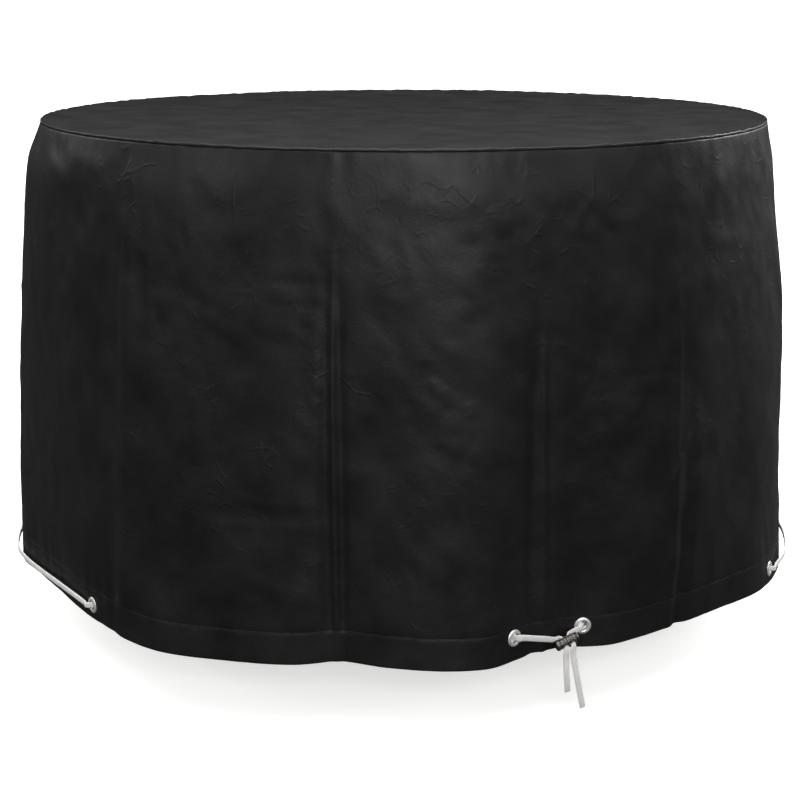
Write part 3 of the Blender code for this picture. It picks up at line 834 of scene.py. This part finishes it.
def crease(azimuth, depth, row):
    # a soft ridge from end to end, tapering out, with a shallow hollow on each side
    a0, d0, a1, d1, halfWidth, height, sag = row
    overrun = creaseForm["overrun"]
    metres = math.radians(coverShape["meanRadius"])
    x, y = turnBetween(azimuth, a0) * metres, depth - d0
    dx, dy = (a1 - a0) * metres, d1 - d0
    length = math.hypot(dx, dy)
    t = (x * dx + y * dy) / length**2
    inside = np.clip(t, 0, 1)
    off = (y * dx - x * dy) / length - 4 * sag * inside * (1 - inside)
    share = off / halfWidth
    run = np.clip((t + overrun) / (1 + 2 * overrun), 0, 1)
    taper = np.sqrt(np.clip(np.sin(math.pi * run), 0, 1))
    hollow = creaseForm["hollow"] * np.exp(-((share / creaseForm["hollowWidth"]) ** 2))
    return height * taper * (np.exp(-share * share) - hollow)


def sheetMesh(name, points, uv, keep, material):
    # closed rows of points, made a mesh with a map in metres
    rows, columns = points.shape[:2]
    index = np.arange(rows * columns).reshape(rows, columns)
    after = np.roll(index, -1, axis=1)
    quads = np.stack([index[:-1], index[1:], after[1:], after[:-1]], axis=-1)[keep]
    corner = np.stack([uv[:-1, :-1], uv[1:, :-1], uv[1:, 1:], uv[:-1, 1:]], axis=2)[keep]
    used, numbers = np.unique(quads, return_inverse=True)
    mesh = bpy.data.meshes.new(name)
    mesh.from_pydata(points.reshape(-1, 3)[used].tolist(), [], numbers.reshape(-1, 4).tolist())
    layer = mesh.uv_layers.new(name="clothMetres")
    layer.data.foreach_set("uv", corner.reshape(-1))
    mesh.shade_smooth()
    return addPiece(name, mesh, material), used


# Side wall: one band of cloth, seamed under the rim, its hem turned up inside and stitched

wallCloth = {
    "thickness": 0.0007,
    "hemThickness": 0.0016,
    "frontSpacing": 0.49,  # degrees between columns
    "frontReach": 78,
    "backSpacing": 2.2,
    "closeColumns": {
        # reach to each side, spacing there, how fast it opens out beyond, in half widths for a fold
        "fold": (2.0, 0.42, 0.25),
        "eyelet": (1.3, 0.32, 0.30),
        "mark": (0.5, 0.12, 0.30),
    },
    "columnStep": 0.02,
    "rowSpacing": 0.0098,
    "rimRows": [0.0, 0.0008, 0.0022, 0.0045],  # below the seam
    "rimTurn": 0.0008,
    "meanDepth": 0.695,
    "hemRows": [
        0.0480, 0.0465, 0.0450, 0.0435, 0.0415, 0.0380, 0.0345, 0.0310, 0.0275,
        0.0240, 0.0205, 0.0170, 0.0135, 0.0095, 0.0050, 0.0018, 0.0005, 0.0,
    ],
    "edgeRoll": [0.0, 0.0002, 0.0009],  # how far the last rows turn in
    "stitchHeight": 0.045,
    "stitchDent": (0.0006, 0.0016),  # how deep and how wide
    "seamDent": (0.0004, 0.0030),
    "creases": [
        # azimuth and depth of one end, of the other end, half width, height, sag, all but azimuths in mm
        (-36, 205, -29, 215, 4.5, 1.6, 1),
        (-29.5, 214, -21, 256, 5, 2.6, -3),
        (-21.5, 150, -17, 157, 4.2, 1.8, 1),
        (-17.5, 156, -10.5, 161, 4.5, 2.2, 2),
        (-21, 181, -11, 189, 4.5, 2.4, 2),
        (-21, 202, -17.5, 214, 4.5, 2.2, 0),
        (-21, 222, -16, 239, 4.8, 2.2, 1),
        (-16, 238, -12, 249, 4.8, 2.2, 0),
        (-22.2, 130, -17.8, 154, 6, 1.4, 2),
        (-12.5, 270, -10.9, 285, 3.8, 1.8, 0),
        (-12.3, 300, -11, 318, 3.8, 1.8, 0),
        (-12.8, 330, -11.1, 345, 4, 2, 0),
        (1, 58, -1.2, 102, 3.8, 2, 1),
        (-1.2, 102, -2.3, 119, 3.8, 1.4, 0),
        (3.8, 46, 2.4, 62, 3.8, 1.8, 0),
        (2, 30, 5.5, 44, 4.5, 1.2, 0),
        (24.8, 74, 21.8, 105, 4.2, 2.4, 0),
        (21.6, 106, 26.5, 102, 4.2, 2, 1),
        (26, 103, 35.5, 88, 4.5, 1.5, 1),
        (9, 98, 13.5, 90, 6, 1.3, -6),
        (-27, 486, -12.5, 487, 6.5, -3, 2),
        (-24, 560, -14, 600, 9, 1.6, 4),
        (5.5, 215, 10.5, 195, 4.8, 1.8, 2),
        (3, 250, 7.5, 262, 4.8, 1.4, 1),
        (2.5, 300, 8, 335, 5, 2, 3),
        (5.5, 345, 10, 330, 4.5, 1.8, 1),
        (3.5, 375, 9.5, 400, 5, 2, 2),
        (6, 430, 11, 415, 5, 1.6, 1),
        (20, 262, 28, 302, 4.5, 2.4, 2),
        (23, 330, 26, 290, 4.2, 1.6, 0),
        (24.5, 345, 31.5, 352, 4.5, 2, 2),
        (27, 395, 33.5, 345, 4.5, 2, 2),
        (30.5, 332, 41, 318, 5, 2.2, 3),
        (22.5, 385, 25.5, 420, 4.5, 1.8, 0),
        (27.5, 415, 31.5, 455, 4.8, 2, 2),
        (25, 470, 31, 480, 4.8, 1.6, 1),
        (44, 385, 41.5, 430, 5, 3.4, 3),
        (42.6, 410, 39.6, 470, 4.8, 3.4, 2),
        (40.8, 440, 38, 487, 4.8, 2.8, 0),
        (48.5, 440, 41, 475, 10, -3, 6),
        (46, 130, 58, 155, 10, 1.6, 5),
        (-60, 215, -50, 235, 8, 1.6, 4),
        (-58, 20, -46, 40, 9, 2.4, 4),
        (-66, 30, -57, 58, 8, 2.6, 3),
        (-47, 30, -41.5, 22, 5.5, 1.8, 1),
        (-41, 20, -40, 75, 6, 2, 0),
        (-12.5, 45, -10.2, 120, 12, -1.2, 2),
    ],
    "marks": [
        # azimuth, depth at the top and the bottom of a straight old fold mark
        (-23.4, 0.024, 0.104),
        (25.2, 0.022, 0.080),
    ],
    "markHeight": 0.0009,
    "markHalfWidth": 0.20,
    "markFade": (0.02, 0.03),
    "scattered": {
        # small creases over the whole wall
        "count": 120,
        "seed": 3,
        "azimuth": (-180, 180),
        "depth": (0.03, 0.60),
        "heading": (0.35, 0.7),  # mean and spread
        "length": (0.025, 0.085),
        "halfWidth": (0.0042, 0.0075),
        "height": (0.0005, 0.0018),
        "sag": (-0.004, 0.004),
    },
    "calmRim": (0.004, 0.05),
    "calmHem": (0.02, 0.12),
    "hemShare": 0.35,  # of the relief that the hem keeps
    "pucker": 0.0006,
    "gatherShare": 0.7,
    "gathers": [
        # length, waves, seed, where it is full and gone: under the rim, and beside the stitches
        (0.026, 16, 21, 0.012, 0.055),
        (0.034, 16, 22, 0.02, 0.07),
    ],
    "unevenness": [
        # length, height, waves, seed
        (0.190, 0.0011, 24, 11),
        (0.070, 0.00050, 30, 12),
        (0.034, 0.00022, 40, 13),
    ],
}


def wallColumns():
    # close columns at the folds, marks and eyelets in front, wide ones round the back
    step = wallCloth["columnStep"]
    fine = np.arange(-180, 180, step)
    inFront = np.abs(fine) < wallCloth["frontReach"]
    spacing = np.where(inFront, wallCloth["frontSpacing"], wallCloth["backSpacing"])
    close = [("fold", middle, halfWidth) for middle, halfWidth, *_ in coverShape["folds"]]
    close += [("eyelet", middle, 1.0) for middle in eyeletAzimuths]
    close += [("mark", middle, 1.0) for middle, *_ in wallCloth["marks"]]
    for kind, middle, size in close:
        reach, closest, opening = wallCloth["closeColumns"][kind]
        beyond = np.clip(np.abs(turnBetween(fine, middle)) - reach * size, 0, None)
        spacing = np.minimum(spacing, closest * size + opening * beyond)
    reach = np.concatenate([[0], np.cumsum(step / spacing)])
    count = round(reach[-1])
    return np.interp(np.arange(count) / count * reach[-1], reach, np.append(fine, 180))


def scatteredCrease(dice):
    made = wallCloth["scattered"]
    azimuth, depth = dice.uniform(*made["azimuth"]), dice.uniform(*made["depth"])
    heading, length = dice.normal(*made["heading"]), dice.uniform(*made["length"])
    halfWidth = dice.uniform(*made["halfWidth"])
    height = dice.uniform(*made["height"]) * dice.choice([-1, 1])
    sag = dice.uniform(*made["sag"])
    azimuthEnd = azimuth + math.degrees(length * math.cos(heading) / coverShape["meanRadius"])
    return (azimuth, depth, azimuthEnd, depth + length * math.sin(heading), halfWidth, height, sag)


def wallRelief(azimuth, depth, lowest):
    # creases, puckers and unevenness on top of the folds
    relief = np.zeros(np.broadcast(azimuth, depth).shape)
    for length, height, waves, seed in wallCloth["unevenness"]:
        relief += height * ripples(azimuth, depth, length, waves, seed)
    made = wallCloth["scattered"]
    dice = np.random.default_rng(made["seed"])
    scattered = [scatteredCrease(dice) for _ in range(made["count"])]
    placed = [
        (a0, d0 / 1000, a1, d1 / 1000, *(size / 1000 for size in form))
        for a0, d0, a1, d1, *form in wallCloth["creases"]
    ]
    for row in scattered + placed:
        relief += crease(azimuth, depth, row)
    fadeIn, fadeOut = wallCloth["markFade"]
    for middle, top, bottom in wallCloth["marks"]:
        share = turnBetween(azimuth, middle) / wallCloth["markHalfWidth"]
        span = eased(top, top + fadeIn, depth) * (1 - eased(bottom - fadeOut, bottom, depth))
        relief += wallCloth["markHeight"] * span * np.exp(-share * share)
    aboveHem = lowest - depth
    hemShare = wallCloth["hemShare"]
    calm = hemShare + (1 - hemShare) * eased(*wallCloth["calmHem"], aboveHem)
    relief *= eased(*wallCloth["calmRim"], depth) * calm
    fromStitches = aboveHem - wallCloth["stitchHeight"]
    gather = 0.0
    for (length, waves, seed, full, gone), off in zip(wallCloth["gathers"], (depth, np.abs(fromStitches))):
        gather = gather + ripples(azimuth, 0.0, length, waves, seed) * (1 - eased(full, gone, off))
    relief += wallCloth["pucker"] * gather * wallCloth["gatherShare"]
    for key, off in (("stitchDent", fromStitches), ("seamDent", depth - coverShape["seamDepth"])):
        dent, width = wallCloth[key]
        relief -= dent * np.exp(-((off / width) ** 2))
    return relief


def pressedFlat(points):
    # the hem lies in each eyelet's own plane round it
    for middle, outwards, along, up in eyeletFrames:
        away = points - middle
        off = away @ outwards
        far = np.hypot(away @ along, away @ up)
        near = (np.abs(off) < eyelet["freeFrom"]) & (far < eyelet["freeFrom"])
        hold = (1 - eased(eyelet["pressedTo"], eyelet["freeFrom"], far)) * near
        points = points - (off * hold)[..., None] * outwards
    return points


def wallFace(azimuth, depth, inset=0.0):
    lowest = sectionAt(azimuth)[5]
    radius = foldedRadius(azimuth, depth) + wallRelief(azimuth, depth, lowest) - inset
    return pressedFlat(place(azimuth, radius, -depth))


def addSideWall(material):
    azimuth = wallColumns()
    rim, *_, lowest = sectionAt(azimuth)
    top = coverShape["seamDepth"] + coverShape["shadowGap"]
    rimRows, hemRows = wallCloth["rimRows"], wallCloth["hemRows"]
    span = wallCloth["meanDepth"] - hemRows[0] - top - rimRows[-1]
    shares = np.linspace(0, 1, round(span / wallCloth["rowSpacing"]))[:-1]
    above = [lowest - top - row for row in rimRows[:-1]]
    above += [hemRows[0] + (1 - s) * (lowest - hemRows[0] - top - rimRows[-1]) for s in shares]
    above += [np.full(azimuth.shape, row) for row in hemRows]
    depth = lowest - np.array(above)
    inset = np.zeros(len(depth))
    inset[0] = wallCloth["rimTurn"]
    inset[-len(wallCloth["edgeRoll"]) :] = wallCloth["edgeRoll"]
    points = wallFace(np.broadcast_to(azimuth, depth.shape), depth, inset[:, None])
    allowance = coverShape["seamAllowance"]
    turnedIn = [place(azimuth, rim - allowance * share, -top) for share in (1.0, 0.5)]
    points = np.concatenate([np.array(turnedIn), points])
    flatDepth = [np.full(azimuth.shape, top - allowance * share) for share in (1.0, 0.5)]
    depth = np.concatenate([flatDepth, depth])
    wide = np.radians(np.append(azimuth, azimuth[0] + 360)) * coverShape["meanRadius"]
    high = -np.append(depth, depth[:, :1], axis=1)
    uv = np.stack([np.broadcast_to(wide, high.shape), high], axis=-1)

    keep = np.full((len(depth) - 1, len(azimuth)), True)
    hole = eyelet["clothHole"]
    for middle, outwards, along, up in eyeletFrames:
        away = points - middle
        far = np.where(np.abs(away @ outwards) < eyelet["nearBy"], np.hypot(away @ along, away @ up), 1.0)
        inside = far < hole
        inside = inside | np.roll(inside, -1, axis=1)
        opened = inside[:-1] | inside[1:]
        keep &= ~opened
        rimCorners = np.zeros(far.shape, bool)
        for down, right in ((0, 0), (1, 0), (0, 1), (1, 1)):
            rimCorners[down : down + len(opened)] |= np.roll(opened, right, axis=1)
        rimCorners &= far >= hole
        share = (hole / np.where(rimCorners, far, 1.0))[..., None]
        points = np.where(rimCorners[..., None], middle + away * share, points)

    piece, used = sheetMesh("sideWall", points, uv, keep, material)
    hem = piece.vertex_groups.new(name="hem")
    firstHem = (len(points) - len(hemRows) + 2) * len(azimuth)
    hem.add(np.flatnonzero(used >= firstHem).tolist(), 1.0, "REPLACE")
    solid = piece.modifiers.new("cloth thickness", "SOLIDIFY")
    solid.thickness = wallCloth["hemThickness"]
    solid.offset = -1
    solid.vertex_group = hem.name
    solid.thickness_vertex_group = wallCloth["thickness"] / wallCloth["hemThickness"]
    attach(piece, "root")
    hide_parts("side_wall")
    print("side wall:", len(azimuth), "columns,", len(points), "rows")


# Top panel: a disc of cloth, its edge turned down over the table's rim

topCloth = {
    "thickness": 0.0007,
    "columns": 400,
    "rings": 78,
    "lift": 0.0014,
    "unevenness": [
        # length, height, waves, seed
        (0.240, 0.00070, 14, 31),
        (0.090, 0.00040, 24, 32),
    ],
    "wrinkles": {
        "count": 60,
        "seed": 30,
        "middle": (-0.55, 0.55),
        "heading": (0.0, 0.5),  # mean and spread
        "length": (0.02, 0.08),
        "halfWidth": (0.005, 0.009),
        "height": (0.0003, 0.0010),
    },
    "calmRim": (0.53, 0.556),
    "crowding": 0.9,  # below 1 brings the rings closer towards the rim
    "roundedAt": [15, 30, 45, 60, 75, 90],
    "edge": [(0.0, 0.0016), (0.0003, 0.0005), (0.0010, 0.0)],  # in from the rim, over the seam
    "rimBand": (0.54, 0.555),
    "edgeBand": 0.004,
    "flatWithin": 1e-9,
    "rimPucker": 0.0006,
    "rimGather": (0.030, 18, 33),
    "weld": 0.00001,
}


def topRelief(points):
    # low unevenness and short wrinkles, calm at the rim
    x, y = points[..., 0], points[..., 1]
    relief = np.zeros(x.shape)
    for length, height, waves, seed in topCloth["unevenness"]:
        dice = np.random.default_rng(seed)
        for _ in range(waves):
            heading, phase = dice.uniform(0, math.pi), dice.uniform(0, 2 * math.pi)
            wave = 2 * math.pi / (length * dice.uniform(*coverShape["waveStretch"]))
            along = x * math.cos(heading) + y * math.sin(heading)
            relief += height / math.sqrt(waves) * np.sin(wave * along + phase)
    wrinkles = topCloth["wrinkles"]
    dice = np.random.default_rng(wrinkles["seed"])
    for _ in range(wrinkles["count"]):
        cx, cy = dice.uniform(*wrinkles["middle"], 2)
        heading = dice.normal(*wrinkles["heading"])
        length, halfWidth = dice.uniform(*wrinkles["length"]), dice.uniform(*wrinkles["halfWidth"])
        height = dice.uniform(*wrinkles["height"])
        along = (x - cx) * math.cos(heading) + (y - cy) * math.sin(heading)
        across = (y - cy) * math.cos(heading) - (x - cx) * math.sin(heading)
        relief += height * np.exp(-((across / halfWidth) ** 2) - (along / length) ** 4)
    return relief * (1 - eased(*topCloth["calmRim"], np.hypot(x, y)))


def addTopPanel(material):
    azimuth = np.linspace(-180, 180, topCloth["columns"], endpoint=False)
    rim = sectionAt(azimuth)[0]
    rounding, lift, seam = coverShape["rimRounding"], topCloth["lift"], coverShape["seamDepth"]
    rows = []
    for share in np.linspace(0, 1, topCloth["rings"]):
        rows.append((share ** topCloth["crowding"] * (rim - rounding), lift))
    for turn in np.radians(topCloth["roundedAt"]):
        rows.append((rim - rounding + rounding * math.sin(turn), lift - rounding + rounding * math.cos(turn)))
    rows += [(rim - inwards, -seam + raised) for inwards, raised in topCloth["edge"]]
    rows.append((rim - coverShape["seamAllowance"], -seam))
    points = np.array([place(azimuth, radius, z) for radius, z in rows])
    flat = points[..., 2] >= lift - topCloth["flatWithin"]
    points[..., 2] += np.where(flat, topRelief(points), 0)
    nearRim = eased(*topCloth["rimBand"], np.hypot(points[..., 0], points[..., 1]))
    overSeam = eased(-seam, -seam + topCloth["edgeBand"], points[..., 2])
    gather = ripples(azimuth, 0.0, *topCloth["rimGather"])
    points[..., 2] += topCloth["rimPucker"] * (nearRim * overSeam) * gather
    uv = np.concatenate([points, points[:, :1]], axis=1)[..., :2]
    keep = np.full((len(points) - 1, len(azimuth)), True)
    piece, _ = sheetMesh("topPanel", points, uv, keep, material)
    shape = bmesh.new()
    shape.from_mesh(piece.data)
    bmesh.ops.remove_doubles(shape, verts=shape.verts, dist=topCloth["weld"])  # closes the middle
    shape.to_mesh(piece.data)
    shape.free()
    solid = piece.modifiers.new("cloth thickness", "SOLIDIFY")
    solid.thickness = topCloth["thickness"]
    solid.offset = -1
    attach(piece, "root")
    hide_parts("top_panel")
    print("top panel:", len(azimuth), "columns,", len(points), "rings")


# Hem stitching: one row of lockstitches round the wall

hemStitch = {
    "pitch": 0.0040,
    "length": 0.0031,
    "thickness": 0.00055,
    "sunk": 0.0001,
}


def threadMaterial():
    # bonded polyester sewing thread: black and slightly shiny
    material, tree, inputs = startMaterial("bonded sewing thread", {"Specular IOR Level": 0.4})
    twist = noise(tree, objectPlace(tree), 2500.0, 2.0)
    colour = mixed(tree, twist, linearColour("#1c1d1d"), linearColour("#3a3a39"))
    plug(tree, inputs, {"Roughness": mapped(tree, twist, 0.0, 1.0, 0.45, 0.65), "Base Color": colour})
    return material


def addHemStitches():
    bpy.ops.object.select_all(action="DESELECT")
    turned = (0, math.radians(90), 0)
    bpy.ops.mesh.primitive_uv_sphere_add(segments=6, ring_count=5, radius=0.5, rotation=turned)
    stitch = bpy.context.object
    stitch.scale = (hemStitch["thickness"], hemStitch["thickness"], hemStitch["length"])
    bpy.ops.object.transform_apply(location=True, rotation=True, scale=True)
    corners = np.array([v.co for v in stitch.data.vertices])
    faces = [list(face.vertices) for face in stitch.data.polygons]
    bpy.data.objects.remove(stitch, do_unlink=True)
    count = round(2 * math.pi * coverShape["meanRadius"] / hemStitch["pitch"])
    azimuth = np.linspace(-180, 180, count, endpoint=False)
    step = 180 / count
    depth = sectionAt(azimuth)[5] - wallCloth["stitchHeight"]
    middle = wallFace(azimuth, depth)
    along = unit(wallFace(azimuth + step, depth) - wallFace(azimuth - step, depth))
    outwards = unit(np.cross(along, (0.0, 0.0, 1.0)))
    up = np.cross(outwards, along)
    middle = middle + outwards * (hemStitch["thickness"] / 2 - hemStitch["sunk"])
    points = (
        middle[:, None]
        + along[:, None] * corners[None, :, :1]
        + up[:, None] * corners[None, :, 1:2]
        + outwards[:, None] * corners[None, :, 2:]
    )
    allFaces = [[v + n * len(corners) for v in face] for n in range(count) for face in faces]
    mesh = bpy.data.meshes.new("hemStitches")
    mesh.from_pydata(points.reshape(-1, 3).tolist(), [], allFaces)
    mesh.shade_smooth()
    piece = addPiece("hemStitches", mesh, threadMaterial())
    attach(piece, "root")
    print("hem stitches:", count)


# the top panel gets a painted paler front, standing in for light; the side wall gets none
addTopPanel(tarpaulinMaterial("topPanel", 0.5))
addSideWall(tarpaulinMaterial("sideWall", 0.0))
addHemStitches()


# Pale studio: the cloth mirrors the softboxes, and sees the floor and room dimmed as by black cards

studio = {
    "floorHeight": -0.80,
    "floorReach": 60.0,
    "floorColour": "#f4f4f2",
    "floorCloud": "#f0f0ee",
    "floorToCloth": "#3a3a3a",
    "floorGlow": 0.72,
    "roomColour": "#f2f2f1",
    "roomStrength": 0.50,
    "roomInGloss": 0.02,
    "ceilingStrength": 3.3,
    "ceilingAngle": 70.0,
    "softboxes": [
        # name, place, aims at, width, height, watts
        ("front softbox", (0.4, -4.4, 1.2), (0.0, 0.0, -0.3), 2.4, 0.8, 72.0),
        ("front left softbox", (-3.4, -2.4, 1.3), (0.0, 0.0, -0.2), 1.8, 0.8, 24.0),
        ("front right softbox", (3.4, -2.4, 1.3), (0.0, 0.0, -0.2), 1.8, 0.8, 24.0),
        ("back left softbox", (-3.6, 1.6, 1.8), (0.0, 0.0, -0.2), 0.8, 1.6, 36.0),
        ("back right softbox", (3.6, 2.0, 1.6), (0.0, 0.0, -0.2), 0.8, 1.6, 105.0),
    ],
}


def floorMaterial():
    # matt painted board, nearly even, glowing a little so that the shadow on it stays pale
    material, tree, inputs = startMaterial(
        "matt painted board",
        {"Roughness": 0.9, "Specular IOR Level": 0.1, "Emission Color": linearColour(studio["floorColour"])},
    )
    plain, cloud, dim = (linearColour(studio[key]) for key in ("floorColour", "floorCloud", "floorToCloth"))
    board = mixed(tree, noise(tree, objectPlace(tree), 0.8, 2.0), plain, cloud)
    seen = addNode(tree, "LightPath", {}).outputs["Is Camera Ray"]
    glow = maths(tree, "MULTIPLY", seen, studio["floorGlow"])
    plug(tree, inputs, {"Base Color": mixed(tree, seen, dim, board), "Emission Strength": glow})
    return material


def addRoom():
    room = bpy.data.worlds.new("pale room")
    bpy.context.scene.world = room
    room.use_nodes = True
    tree = room.node_tree
    air = tree.nodes["Background"].inputs
    air["Color"].default_value = linearColour(studio["roomColour"])
    light = addNode(tree, "LightPath", {}).outputs
    strength = mapped(tree, light["Is Camera Ray"], 0.0, 1.0, studio["roomStrength"], 1.0)
    inGloss = addNode(tree, "Mix", {0: light["Is Glossy Ray"], 2: strength, 3: studio["roomInGloss"]})
    tree.links.new(inGloss.outputs[0], air["Strength"])


def addStudio():
    bpy.ops.object.select_all(action="DESELECT")
    bpy.ops.mesh.primitive_circle_add(
        vertices=64,
        radius=studio["floorReach"],
        fill_type="NGON",
        location=(0, 0, studio["floorHeight"]),
    )
    floor = bpy.context.object
    floor.name = "studioFloor"
    floor.data.materials.append(floorMaterial())
    for name, spot, aim, width, height, watts in studio["softboxes"]:
        turn = (Vector(aim) - Vector(spot)).to_track_quat("-Z", "Y").to_euler()
        bpy.ops.object.light_add(type="AREA", location=spot, rotation=turn)
        light = bpy.context.object
        light.name = name
        light.data.shape = "RECTANGLE"
        light.data.size = width
        light.data.size_y = height
        light.data.energy = watts
        light.visible_camera = False
    bpy.ops.object.light_add(type="SUN", location=(0, 0, 6), rotation=(0, 0, 0))
    ceiling = bpy.context.object
    ceiling.name = "wide ceiling light"
    ceiling.data.energy = studio["ceilingStrength"]
    ceiling.data.angle = math.radians(studio["ceilingAngle"])
    addRoom()
    bpy.context.scene.view_settings.view_transform = "Standard"
    print("floor and lights in place")


addStudio()
